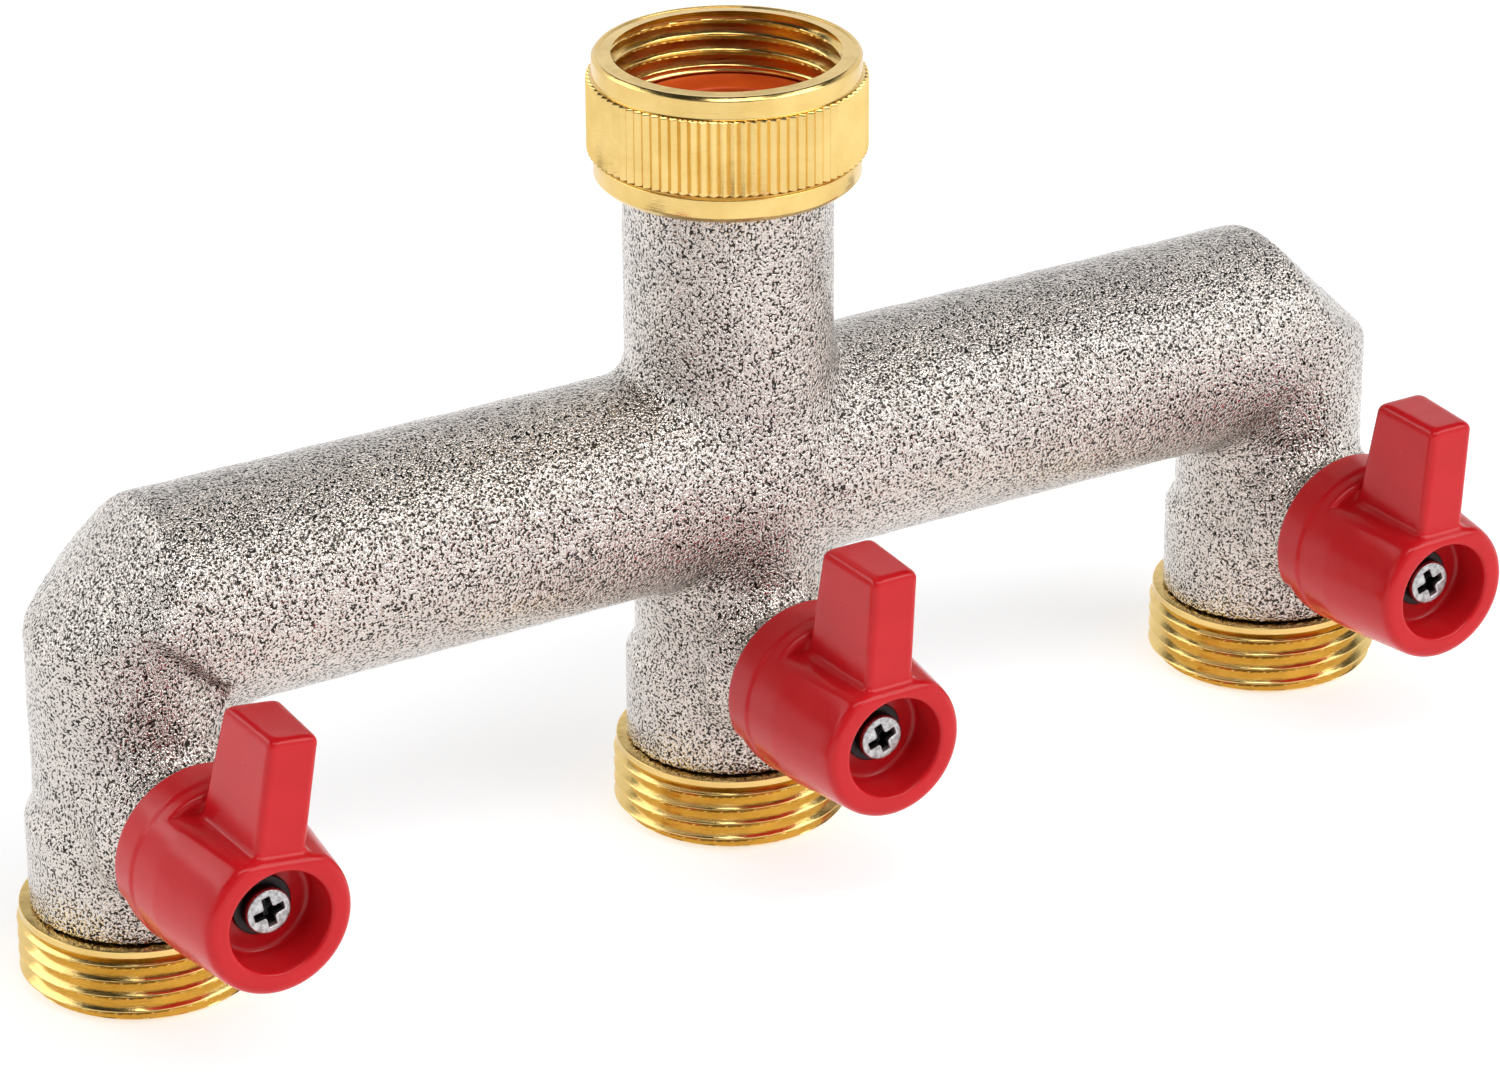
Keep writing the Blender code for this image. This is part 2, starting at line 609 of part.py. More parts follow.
def make_handle(side, axis):
    """The moulded handle: skirt, tapering barrel, counterbored front and one wing."""
    outline = [
        (0.0, HANDLE_RECESS_FLOOR),
        (HANDLE_RECESS_RADIUS, HANDLE_RECESS_FLOOR),
        (HANDLE_RECESS_RADIUS + 0.00005, HANDLE_FRONT - EDGE),
        (HANDLE_RECESS_RADIUS + EDGE, HANDLE_FRONT),
    ]
    outline += HANDLE_OUTSIDE
    outline += [
        (HANDLE_CAVITY_RADIUS, HANDLE_BACK),
        (HANDLE_CAVITY_RADIUS, HANDLE_CAVITY_FLOOR),
        (0.0, HANDLE_CAVITY_FLOOR),
    ]
    handle = turned(f"{side}_handle", outline, FINE_STEPS, axis, RED, forward=True, closed=False)
    low = (-0.0110, -HANDLE_FRONT - 0.0021, LAND_HEIGHT)
    high = (0.0110, -LAND_BACK, LAND_HEIGHT + 0.0050)
    land = block(f"{side}_land_cut", low, high, axis)
    low = (-WING_HALF_WIDTH, -WING_FRONT, WING_FOOT)
    high = (WING_HALF_WIDTH, -WING_FOOT_BACK, WING_TOP)
    wing = block(f"{side}_wing_form", low, high, axis)
    for vert in wing.data.vertices:
        at_back = vert.co.y > -(WING_FRONT + WING_FOOT_BACK) / 2
        at_top = vert.co.z > (WING_FOOT + WING_TOP) / 2
        if at_back:
            vert.co.x *= WING_BACK_WIDENING
            vert.co.y = -WING_TOP_BACK if at_top else -WING_FOOT_BACK
        elif not at_top:
            vert.co.y = -WING_FOOT_FRONT
            vert.co.x *= WING_FOOT_NARROWING
    bevel(wing, 0.0005, 2)
    low = (-SOCKET_HALF_WIDTH, -SOCKET_FLOOR, -SOCKET_HALF_WIDTH)
    high = (SOCKET_HALF_WIDTH, 0.0003 - HANDLE_CAVITY_FLOOR, SOCKET_HALF_WIDTH)
    socket = block(f"{side}_socket_cut", low, high, axis)
    screw_hole = [
        (0.0, HANDLE_RECESS_FLOOR + OVERCUT),
        (SCREW_HOLE_RADIUS, HANDLE_RECESS_FLOOR + OVERCUT),
        (SCREW_HOLE_RADIUS, SOCKET_FLOOR - 0.0007),
        (0.0, SOCKET_FLOOR - 0.0007),
    ]
    hole = turned(f"{side}_screw_hole", screw_hole, SMALL_STEPS, axis, forward=True, closed=False)
    cut(handle, land)
    join(handle, wing)
    cut(handle, socket, hole)
    for number, turn in enumerate(STOP_RIB_TURNS):
        rib = block(f"{side}_stop_rib_{number}", *STOP_RIB_CORNERS, axis)
        rib.rotation_euler = (0.0, radians(turn), 0.0)
        join(handle, rib)
    notch = block(f"{side}_rim_notch", *NOTCH_CORNERS, axis)
    notch.rotation_euler = (0.0, radians(NOTCH_TURN), 0.0)
    cut(handle, notch)


def make_screw(side, axis):
    """The cross-recessed screw that holds the handle on the stem, and the washer under its head."""
    back, front = HEAD_WASHER_SPAN
    washer = [(0.0033, front), (0.0033, back), (0.0016, back), (0.0016, front)]
    turned(f"{side}_screw_washer", washer, COARSE_STEPS, axis, BLACK_RUBBER, forward=True)
    head = [
        (0.0, HEAD_FRONT),
        (0.0015, HEAD_FRONT - 0.0001),
        (0.0022, HEAD_FRONT - 0.0003),
        (HEAD_RADIUS, HEAD_FRONT - 0.0007),
        (HEAD_RADIUS, HEAD_BACK),
        (SHANK_RADIUS, HEAD_BACK),
        (SHANK_RADIUS, SHANK_END + 0.0006),
        (0.0007, SHANK_END),
        (0.0, SHANK_END),
    ]
    screw = turned(f"{side}_handle_screw", head, COARSE_STEPS, axis, STEEL, forward=True, closed=False)
    arms = (("a", CROSS_HALF_LENGTH, CROSS_HALF_WIDTH), ("b", CROSS_HALF_WIDTH, CROSS_HALF_LENGTH))
    for name, half_x, half_z in arms:
        low = (-half_x, -HEAD_FRONT - OVERCUT, -half_z)
        high = (half_x, -CROSS_FLOOR, half_z)
        arm = block(f"{side}_cross_{name}", low, high, axis)
        arm.rotation_euler = (0.0, radians(CROSS_TURN), 0.0)
        cut(screw, arm)


splitter = empty("splitter_frame", (0.0, AXIS_Y, 0.0))
make_casting(splitter)
make_nut(splitter)
make_tailpiece(splitter)
for side_name, side_place, rest_turn in VALVES:
    valve_x = side_place * OUTLET_SPACING
    make_outlet(side_name, valve_x, splitter)
    seat_axis = bpy.data.objects[f"{side_name}_valve_seat"]
    make_seats(side_name, seat_axis)
    valve_axis = empty(f"{side_name}_valve_axis", (valve_x, 0.0, VALVE_Z), splitter, rest_turn)
    make_ball(side_name, valve_axis)
    make_stem(side_name, valve_axis)
    make_handle(side_name, valve_axis)
    make_screw(side_name, valve_axis)
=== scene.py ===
"""Looks of the hose splitter: cast nickel body, knurled brass nut, threaded brass outlets and red lever handles.

Lengths are in millimetres in the shape functions, and in metres in the scene. The shape functions measure Y from
the pipe's plane. "Forward" is the distance from that plane towards -Y, where the handles are.
"""

import bpy
import numpy as np
from math import cos, pi, radians, sin, sqrt, tan
from mathutils import Matrix, Vector


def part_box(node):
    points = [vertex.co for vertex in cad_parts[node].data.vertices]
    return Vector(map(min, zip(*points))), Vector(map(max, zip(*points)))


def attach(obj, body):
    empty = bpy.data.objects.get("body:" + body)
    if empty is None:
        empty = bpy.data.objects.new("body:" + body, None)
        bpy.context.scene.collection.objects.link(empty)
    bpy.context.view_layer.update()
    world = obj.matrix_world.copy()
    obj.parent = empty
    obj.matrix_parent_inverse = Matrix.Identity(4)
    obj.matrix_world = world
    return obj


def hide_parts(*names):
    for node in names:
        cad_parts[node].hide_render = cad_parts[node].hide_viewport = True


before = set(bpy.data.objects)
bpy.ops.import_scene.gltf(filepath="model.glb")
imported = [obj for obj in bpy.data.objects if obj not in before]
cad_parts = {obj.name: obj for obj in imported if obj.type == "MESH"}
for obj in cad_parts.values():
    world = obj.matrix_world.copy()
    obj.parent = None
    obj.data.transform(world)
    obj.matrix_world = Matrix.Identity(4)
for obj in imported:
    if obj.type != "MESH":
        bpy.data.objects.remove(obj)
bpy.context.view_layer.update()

MM = 0.001
SIDES = ("left", "middle", "right")


def box_centre(node):
    low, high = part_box(node)
    return (low + high) / 2


AXIS_Y = box_centre("middle_outlet").y
VALVE_CENTRES = {side: box_centre(f"{side}_ball") for side in SIDES}
OUTLET_X = {side: box_centre(f"{side}_outlet").x for side in SIDES}
VALVE_TURNS = {"left": 7.0, "middle": 0.0, "right": 0.0}

# Casting
SPACING = OUTLET_X["right"] / MM
VALVE_Z = VALVE_CENTRES["middle"].z / MM
PIPE_Z = 41.6
PIPE_RADIUS = 12.2
NECK_RADIUS = 11.4
NECK_TOP = 74.6
LEG_RADIUS = 10.65
LEG_BOTTOM = 8.8
COLLAR_RADIUS = 11.7
COLLAR_TOP = 18.9
COLLAR_CHAMFER_TOP = 20.9
ELBOW_OUTER_SUM = 123.7  # distance from the middle plus height, on the slant face
ELBOW_CROWN_RADIUS = 20.5
MITRE_BLEND = 0.8
CROWN_BLEND = 0.7
INNER_PIPE_END = 66.0
INNER_LEG_TOP = 38.0
INNER_CORNER_BLEND = 3.5
TEE_BLEND = 2.6
EDGE_BLEND = 0.25
WAVE_SLOW = 0.035
WAVE_FAST = 0.022

# Stem boss and the lug that stops the handle, from the valve's centre
BOSS_FRONT = 18.0
BOSS_FORWARD = (9.8, 12.2, 13.8, 14.6)
BOSS_RADIUS = (9.0, 7.6, 7.6, 6.7)
BOSS_BLEND = 1.8
LUG_HALF_WIDTH = 1.2
LUG_UP = (6.0, 7.6)
LUG_FORWARD = (15.8, 17.8)

# Waterway. The chamber has (radius, low, high) steps and the stem's bore has (radius, front) steps.
PIPE_BORE = 9.5
LEG_BORE = 7.8
NECK_BORE = 8.4
SOCKET_BORE = 9.3
SOCKET_FLOOR = 64.0
SOCKET_TOP = 80.0
WATERWAY_FLOOR = 11.2
CHAMBER_BORE = 5.6
CHAMBER_TOP = 12.8
CHAMBER_STEPS = ((8.75, -8.2, 8.5), (9.6, -11.0, -8.0), (10.9, -14.0, -11.0))
STEM_STEPS = ((3.08, 20.0), (4.2, 10.6))

# Hose thread
PITCH = 1.814
THREAD_RADIUS = 13.22
THREAD_DEPTH = 1.16
THREAD_CREST = 0.09

# Nut
KNURL_TEETH = 84
TOOTH_DEPTH = 0.42
TOOTH_START_RADIUS = 14.72
KNURL_RADIUS = 15.04
KNURL_TOP = 86.50
KNURL_BOTTOM = 78.35
NUT_TOP = 89.1
NUT_MOUTH_RADIUS = 13.6
NUT_MOUTH_SLOPE = 1.25
NUT_THREAD_LIMIT = 13.0
NUT_THREAD_SPAN = (82.15, 89.0)
NUT_FADE_START = 82.3
NUT_FADE_HEIGHT = 0.8
NUT_ROOT_RADIUS = 12.06
NUT_SOCKET_RADIUS = 12.3
NUT_SOCKET_FLOOR = 81.0

# Hose washer in the nut
WASHER_RADII = (7.6, 11.9)
WASHER_HEIGHTS = (79.1, 82.1)

# Outlet, with a spigot that goes up into the leg
SPIGOT_RADIUS = 9.3
SPIGOT_BORE = 5.6
SPIGOT_TOP = 12.6
OUTLET_BORE = 8.6
FLANGE_TOP = 8.62
FLANGE_BOTTOM = 7.85
FLANGE_RADIUS = 12.9
CORE_RADIUS = 12.35
THREAD_TOP = 7.75
RUNOUT = 0.5
LEAD_RADIUS = 12.0
LEAD_SLOPE = 1.3

# Handle
SKIRT_BACK = 15.3
HANDLE_FRONT = 34.4
RECESS_FLOOR = 29.3
LAND_HEIGHT = 6.85
LAND_FRONT = 21.4
OUTLINE_FORWARD = (15.3, 15.7, 19.1, 19.35, 19.75, 24.0, 28.5, 32.6, 34.4)
OUTLINE_RADIUS = (9.45, 9.6, 9.66, 9.62, 9.49, 9.3, 8.75, 8.3, 8.05)
WING_TOP = 20.25
WING_BASE = 7.0
WING_HEIGHT = 13.2
WING_HALF_WIDTH = 2.78
WING_BACK_FLARE = 0.40
WING_FOOT_FLARE = 0.10
WING_FRONT = (33.25, 34.35)
WING_BACK = (21.6, 24.4)
WING_BLEND = 0.9
RECESS_RADIUS = 5.65
CAVITY_RADIUS = 7.95
CAVITY_FLOOR = 20.3
STEM_SQUARE = 2.25
STEM_SQUARE_FLOOR = 26.2
SCREW_HOLE_RADIUS = 1.5
RIB_LEANS = (21.3, -111.3)
RIB_HALF_WIDTH = 1.1
RIB_ALONG = (7.0, 8.5)
RIB_FORWARD = (15.7, 20.6)
NOTCH_LEAN = -135.0
NOTCH_HALF_WIDTH = 3.6
NOTCH_INNER = 9.05
NOTCH_FLOOR = 17.2

# Handle screw
HEAD_RADIUS = 2.5
HEAD_BACK = 30.1
HEAD_FRONT = 31.8
SHANK_RADIUS = 1.25
SHANK_BACK = 20.8
CROSS_LEAN = -20.0
CROSS_REACH = 1.80
CROSS_HALF_WIDTH = 0.47

# Ring under the screw's head
HEAD_RING_RADII = (1.7, 3.28)
HEAD_RING_FORWARD = (29.42, 29.98)

# Ball
BALL_RADIUS = 8.3
BALL_BORE = 5.0
BALL_SLOT = 1.55
BALL_SLOT_FLOOR = 6.0

# Boxes that hold the shapes found by surface_of, about the valve's centre
HANDLE_BOX = ((-10.6, -35.2, -10.6), (10.6, -14.6, WING_TOP + 0.7))
SCREW_BOX = ((-2.8, -32.2, -2.8), (2.8, -20.4, 2.8))
BALL_BOX = ((-9.0, -9.0, -9.0), (9.0, 9.0, 9.0))

# Mesh steps
CASTING_STEP = 0.45
THREAD_STEP = 0.045
HANDLE_STEP = 0.22
SCREW_STEP = 0.075
BALL_STEP = 0.35
STEPS_A_TOOTH = 8
OUTLET_STEPS = 288
RING_STEPS = 144
HEAD_RING_STEPS = 72

# Studio. Azimuth 0 is in front, 90 is to the right.
AIM_HEIGHT = 0.045
LIGHT_DISTANCE = 0.9
FLOOR_DROP = 0.0002
FLOOR_SIZE = 6.0
WHITE_BELOW = 0.42
DARK_ABOVE = 0.60
CEILING = 0.03
GAP_AZIMUTH = -40.0
GAP_COSINES = (0.70, 0.93)
GAP_STRENGTH = 0.25

# Camera, in metres and degrees
CAMERA_PLACE = Vector((-0.28431, AXIS_Y - 0.48166, 0.29653))
CAMERA_YAW = 30.774
CAMERA_PITCH = 25.377
CAMERA_ROLL = -0.319
CAMERA_LENS = 135.0


# ---------------------------------------------------------------- implicit shapes


def union(a, b, blend=0.0):
    """Smaller of two distances, with a fillet of about 0.85 * blend where they meet."""
    if blend <= 0.0:
        return np.minimum(a, b)
    reach = np.maximum(blend - np.abs(a - b), 0.0)
    return np.minimum(a, b) - reach * reach / (4.0 * blend)


def overlap(a, b, blend=0.0):
    return -union(-a, -b, blend)


def minus(a, b, blend=0.0):
    return overlap(a, -b, blend)


def mix(a, b, share):
    return a * (1.0 - share) + b * share


def smooth_ramp(value, width):
    """0 below -width, 1 above width, smooth in between."""
    t = np.clip(value / (2.0 * width) + 0.5, 0.0, 1.0)
    return t * t * (3.0 - 2.0 * t)


def span(value, low, high):
    """Distance to a slab between two planes."""
    return np.maximum(low - value, value - high)


def surface_of(distance, low, high, step):
    """Points and quads of the surface where distance(x, y, z) is zero: one point in each cell it passes."""
    axes = [np.arange(a, b + step, step) for a, b in zip(low, high)]
    field = distance(axes[0][:, None, None], axes[1][None, :, None], axes[2][None, None, :])
    field = field.astype(np.float32)
    inside = field < 0
    corners = [(i, j, k) for i in (0, 1) for j in (0, 1) for k in (0, 1)]
    cells = tuple(n - 1 for n in inside.shape)
    count = np.zeros(cells, np.int8)
    for i, j, k in corners:
        count += inside[i : i + cells[0], j : j + cells[1], k : k + cells[2]]
    active = (count > 0) & (count < 8)
    index = np.argwhere(active)
    total = np.zeros((len(index), 3))
    hits = np.zeros(len(index))
    for a in corners:
        for axis in range(3):
            if a[axis]:
                continue
            b = list(a)
            b[axis] = 1
            at_a = field[tuple((index + a).T)]
            at_b = field[tuple((index + b).T)]
            crossed = (at_a < 0) != (at_b < 0)
            share = at_a[crossed] / (at_a[crossed] - at_b[crossed])
            point = np.tile(np.array(a, float), (len(share), 1))
            point[:, axis] = share
            total[crossed] += point
            hits[crossed] += 1
    points = np.array([a[0] for a in axes]) + step * (index + total / hits[:, None])
    number = np.full(cells, -1, np.int32)
    number[active] = np.arange(len(index))
    quads = []
    for axis in range(3):
        u, v = (axis + 1) % 3, (axis + 2) % 3
        here = [slice(1, -1)] * 3
        there = [slice(1, -1)] * 3
        here[axis] = slice(0, -1)
        there[axis] = slice(1, None)
        first, second = inside[tuple(here)], inside[tuple(there)]
        at = np.argwhere(first != second)
        outward = first[tuple(at.T)]
        at[:, u] += 1
        at[:, v] += 1
        ring = []
        for back_u, back_v in ((1, 1), (0, 1), (0, 0), (1, 0)):
            cell = at.copy()
            cell[:, u] -= back_u
            cell[:, v] -= back_v
            ring.append(number[tuple(cell.T)])
        ring = np.stack(ring, axis=1)
        ring[~outward] = ring[~outward][:, ::-1]
        quads.append(ring)
    reach = 0.2 * step
    for _ in range(3):
        x, y, z = points.T
        value = distance(x, y, z)
        slope = np.stack(
            [
                distance(x + reach, y, z) - distance(x - reach, y, z),
                distance(x, y + reach, z) - distance(x, y - reach, z),
                distance(x, y, z + reach) - distance(x, y, z - reach),
            ],
            axis=1,
        ) / (2.0 * reach)
        length = np.maximum((slope * slope).sum(axis=1), 0.25)
        move = slope * (value / length)[:, None]
        points = points - np.clip(move, -0.5 * step, 0.5 * step)
    return points, np.concatenate(quads)


# ---------------------------------------------------------------- meshes


def new_object(name, points, quads, location=(0.0, 0.0, 0.0), turn=0.0, soft_angle=50.0):
    """An object from points in millimetres about its own origin, turned clockwise seen from the front."""
    mesh = bpy.data.meshes.new(name)
    mesh.vertices.add(len(points))
    mesh.vertices.foreach_set("co", (np.asarray(points) * MM).astype(np.float32).ravel())
    mesh.loops.add(quads.size)
    mesh.loops.foreach_set("vertex_index", quads.astype(np.int32).ravel())
    mesh.polygons.add(len(quads))
    mesh.polygons.foreach_set("loop_start", np.arange(0, quads.size, 4, dtype=np.int32))
    mesh.update(calc_edges=True)
    mesh.validate()
    mesh.shade_smooth()
    mesh.set_sharp_from_angle(angle=radians(soft_angle))
    return place(name, mesh, location, turn)


def place(name, mesh, location, turn=0.0):
    obj = bpy.data.objects.new(name, mesh)
    bpy.context.scene.collection.objects.link(obj)
    obj.location = location
    obj.rotation_euler = (0.0, radians(turn), 0.0)
    return obj


def rounded(profile, radius, closed=True):
    """A profile with each corner replaced by a short curve that starts at most radius away from it."""
    made = []
    count = len(profile)
    for i, corner in enumerate(profile):
        here = Vector(corner)
        if not closed and i in (0, count - 1):
            made.append(tuple(here))
            continue
        before = Vector(profile[i - 1])
        after = Vector(profile[(i + 1) % count])
        cut = min(radius, 0.45 * (before - here).length, 0.45 * (after - here).length)
        start = here + (before - here).normalized() * cut
        end = here + (after - here).normalized() * cut
        for t in (0.0, 0.25, 0.5, 0.75, 1.0):
            point = start * (1 - t) ** 2 + here * (2 * t * (1 - t)) + end * t**2
            made.append(tuple(point))
    return made


def subdivided(profile, longest):
    """A closed profile with extra points, so that no side is longer than that."""
    made = []
    for i, (radius, height) in enumerate(profile):
        next_radius, next_height = profile[(i + 1) % len(profile)]
        pieces = max(1, int(np.ceil(np.hypot(next_radius - radius, next_height - height) / longest)))
        for j in range(pieces):
            t = j / pieces
            made.append((radius + (next_radius - radius) * t, height + (next_height - height) * t))
    return made


def ring_corners(radii, heights):
    """The closed profile of a plain ring."""
    inner, outer = radii
    low, high = heights
    return [(inner, high), (outer, high), (outer, low), (inner, low)]


def turned(profile, steps, radius_at=None, forward=False):
    """Points and quads of a closed profile turned about Z, outside first and downwards.

    radius_at(radius, height, angle) may shape the surface. A forward piece has its height along -Y.
    """
    radius = np.array([p[0] for p in profile])[:, None]
    height = np.array([p[1] for p in profile])[:, None]
    angle = np.linspace(0.0, 2.0 * pi, steps, endpoint=False)[None, :]
    if radius_at is not None:
        radius = radius_at(radius, height, angle)
    x = radius * np.cos(angle)
    y = radius * np.sin(angle)
    z = np.broadcast_to(height, x.shape)
    points = np.stack([x, -z, y] if forward else [x, y, z], axis=-1).reshape(-1, 3)
    rows = np.arange(len(profile))[:, None] * steps
    next_rows = (np.arange(len(profile)) + 1)[:, None] % len(profile) * steps
    around = np.arange(steps)[None, :]
    next_around = (around + 1) % steps
    quads = np.stack(
        [rows + around, next_rows + around, next_rows + next_around, rows + next_around], axis=-1
    ).reshape(-1, 4)
    return points, quads


# ---------------------------------------------------------------- casting


MITRE_REACH = tan(pi / 8)
LEG_MITRE_Z = ELBOW_OUTER_SUM - SPACING - LEG_RADIUS * (1 + MITRE_REACH)
PIPE_MITRE_X = ELBOW_OUTER_SUM - PIPE_Z - PIPE_RADIUS * (1 + MITRE_REACH)


def waterway_run(side, y, z, pipe_radius, leg_radius, soft):
    """Pipe, slanted elbow and leg with mitred corners. side is the distance from the middle along X."""
    pipe = np.hypot(y, z - PIPE_Z) - pipe_radius
    leg = np.hypot(side - SPACING, y) - leg_radius
    along = (side - z) / sqrt(2)
    across = (side + z) / sqrt(2)
    along_start, along_end = (PIPE_MITRE_X - PIPE_Z) / sqrt(2), (SPACING - LEG_MITRE_Z) / sqrt(2)
    centre_start, centre_end = (PIPE_MITRE_X + PIPE_Z) / sqrt(2), (SPACING + LEG_MITRE_Z) / sqrt(2)
    t = np.clip((along - along_start) / (along_end - along_start), -1.0, 2.0)
    radius = mix(pipe_radius, leg_radius, t)
    slant = np.hypot(across - mix(centre_start, centre_end, t), y) - radius
    at_pipe = (side - PIPE_MITRE_X) * cos(pi / 8) - (z - PIPE_Z) * sin(pi / 8)
    at_leg = (side - SPACING) * sin(pi / 8) - (z - LEG_MITRE_Z) * cos(pi / 8)
    return mix(mix(pipe, slant, smooth_ramp(at_pipe, soft)), leg, smooth_ramp(at_leg, soft))


def elbow_distance(side, y, z, leg_radius):
    """Pipe and leg that meet at one mitre, with the outer corner cut off by a crowned slant face."""
    pipe = np.hypot(y, z - PIPE_Z) - PIPE_RADIUS
    leg = np.hypot(side - SPACING, y) - leg_radius
    past_mitre = ((side - SPACING) - (z - PIPE_Z)) / sqrt(2)
    corner = mix(pipe, leg, smooth_ramp(past_mitre, MITRE_BLEND))
    above_crown = (side + z - ELBOW_OUTER_SUM) / sqrt(2) + ELBOW_CROWN_RADIUS
    slant = np.hypot(np.maximum(above_crown, 0.0), y) - ELBOW_CROWN_RADIUS
    return overlap(corner, slant, CROWN_BLEND)


def leg_outline(z):
    return np.interp(z, (COLLAR_TOP, COLLAR_CHAMFER_TOP), (COLLAR_RADIUS, LEG_RADIUS))


def boss_distance(across, forward, up):
    """The stem boss on the front of a leg, with the lug that stops the handle."""
    radius = np.interp(forward, BOSS_FORWARD, BOSS_RADIUS)
    boss = overlap(np.hypot(across, up) - radius, span(forward, 0.0, BOSS_FRONT), 0.5)
    lug = np.maximum(np.maximum(np.abs(across) - LUG_HALF_WIDTH, span(up, *LUG_UP)), span(forward, *LUG_FORWARD))
    return union(boss, lug, 0.3)


def valve_bores(across, y, up):
    """The ball chamber, open below, and the stem's bore."""
    out = np.hypot(across, y)
    chamber = np.maximum(out - CHAMBER_BORE, span(up, 0.0, CHAMBER_TOP))
    for radius, low, high in CHAMBER_STEPS:
        chamber = union(chamber, np.maximum(out - radius, span(up, low, high)))
    out = np.hypot(across, up)
    for radius, front in STEM_STEPS:
        chamber = union(chamber, np.maximum(out - radius, span(-y, 0.0, front)))
    return chamber


def casting_unevenness(x, y, z):
    """The slight waviness of a cast and tumbled surface."""
    slow = np.sin(0.55 * x + 0.9 * np.sin(0.31 * z)) * np.sin(0.62 * z + 0.8 * np.sin(0.37 * y))
    fast = np.sin(1.31 * x + 1.1 * y) * np.sin(1.17 * z - 0.9 * y + 0.6)
    return WAVE_SLOW * slow + WAVE_FAST * fast


def casting_distance(x, y, z):
    side = np.abs(x)
    leg_radius = leg_outline(z)
    run = elbow_distance(side, y, z, leg_radius)
    inner_pipe = np.maximum(np.hypot(y, z - PIPE_Z) - PIPE_RADIUS, side - INNER_PIPE_END)
    inner_leg = np.maximum(np.hypot(side - SPACING, y) - LEG_RADIUS, z - INNER_LEG_TOP)
    body = union(run, union(inner_pipe, inner_leg, INNER_CORNER_BLEND))
    out = np.hypot(x, y)
    neck = np.maximum(out - NECK_RADIUS, span(z, PIPE_Z, NECK_TOP))
    leg = np.maximum(out - leg_radius, z - PIPE_Z)
    body = union(body, union(neck, leg), TEE_BLEND)
    boss = union(boss_distance(side - SPACING, -y, z - VALVE_Z), boss_distance(x, -y, z - VALVE_Z))
    body = union(body, boss, BOSS_BLEND)
    body = overlap(body + casting_unevenness(x, y, z), LEG_BOTTOM - z, EDGE_BLEND)
    water = waterway_run(side, y, z, PIPE_BORE, LEG_BORE, 0.5)
    water = np.maximum(water, VALVE_Z + WATERWAY_FLOOR - z)
    water = union(water, np.maximum(out - SOCKET_BORE, span(z, SOCKET_FLOOR, SOCKET_TOP)))
    water = union(water, np.maximum(out - NECK_BORE, span(z, PIPE_Z, SOCKET_FLOOR + 0.5)))
    water = union(water, valve_bores(side - SPACING, y, z - VALVE_Z))
    water = union(water, valve_bores(x, y, z - VALVE_Z))
    return minus(body, water, EDGE_BLEND)


def make_casting():
    reach = SPACING + COLLAR_RADIUS + 1.0
    points, quads = surface_of(
        casting_distance,
        (-reach, -BOSS_FRONT - 1.0, LEG_BOTTOM - 1.0),
        (reach, PIPE_RADIUS + 1.0, NECK_TOP + 1.0),
        CASTING_STEP,
    )
    return new_object("casting", points, quads, (0.0, AXIS_Y, 0.0))


# ---------------------------------------------------------------- threads, nut and outlets


def thread_share(phase):
    """0 on the crest and 1 in the root of a hose thread, by its turn along the pitch."""
    ramp = np.abs(2.0 * (phase % 1.0) - 1.0)
    full = sqrt(1.0 + THREAD_CREST**2) - THREAD_CREST
    return (np.sqrt(ramp * ramp + THREAD_CREST**2) - THREAD_CREST) / full


def nut_radius(radius, height, angle):
    """Knurl teeth on the wide band and the thread inside the mouth."""
    tooth = np.abs(2.0 * ((angle * KNURL_TEETH / (2.0 * pi)) % 1.0) - 1.0)
    wide = smooth_ramp(radius - TOOTH_START_RADIUS, 0.06)
    made = radius - wide * TOOTH_DEPTH * tooth
    low, high = NUT_THREAD_SPAN
    threaded = (radius < NUT_THREAD_LIMIT) & (height > low) & (height < high)
    fade = np.clip((height - NUT_FADE_START) / NUT_FADE_HEIGHT, 0.0, 1.0)
    helix = NUT_ROOT_RADIUS + fade * THREAD_DEPTH * thread_share(height / PITCH - angle / (2.0 * pi))
    mouth = NUT_MOUTH_RADIUS - (NUT_TOP - height) * NUT_MOUTH_SLOPE
    return np.where(threaded, np.maximum(helix, mouth), made)


def make_nut():
    outside = [
        (NUT_MOUTH_RADIUS, NUT_TOP),
        (14.05, NUT_TOP),
        (14.4, 88.75),
        (14.4, 86.72),
        (14.78, 86.70),
        (KNURL_RADIUS, KNURL_TOP),
        (KNURL_RADIUS, KNURL_BOTTOM),
        (14.78, 78.15),
        (14.15, 78.12),
        (14.15, 77.85),
        (14.38, 77.7),
        (14.38, 75.7),
        (13.8, 75.05),
        (9.3, 75.05),
        (9.3, 76.8),
        (NUT_SOCKET_RADIUS, 76.8),
    ]
    profile = rounded(outside, 0.10)
    profile += [(NUT_SOCKET_RADIUS, height) for height in np.arange(NUT_SOCKET_FLOOR, NUT_TOP, THREAD_STEP)]
    points, quads = turned(profile, KNURL_TEETH * STEPS_A_TOOTH, nut_radius)
    return new_object("knurled_nut", points, quads, (0.0, AXIS_Y, 0.0), soft_angle=32.0)


def outlet_radius(radius, height, angle):
    """The hose thread with its lead chamfer at the bottom and the runout under the plain band."""
    threaded = (radius > 11.0) & (height > 0.04) & (height < THREAD_TOP)
    runout = np.clip((THREAD_TOP - height) / RUNOUT, 0.0, 1.0)
    helix = THREAD_RADIUS - THREAD_DEPTH * thread_share(height / PITCH - angle / (2.0 * pi) + 0.25)
    helix = mix(CORE_RADIUS, helix, runout)
    lead = LEAD_RADIUS + np.maximum(height, 0.0) * LEAD_SLOPE
    return np.where(threaded, np.minimum(helix, lead), radius)


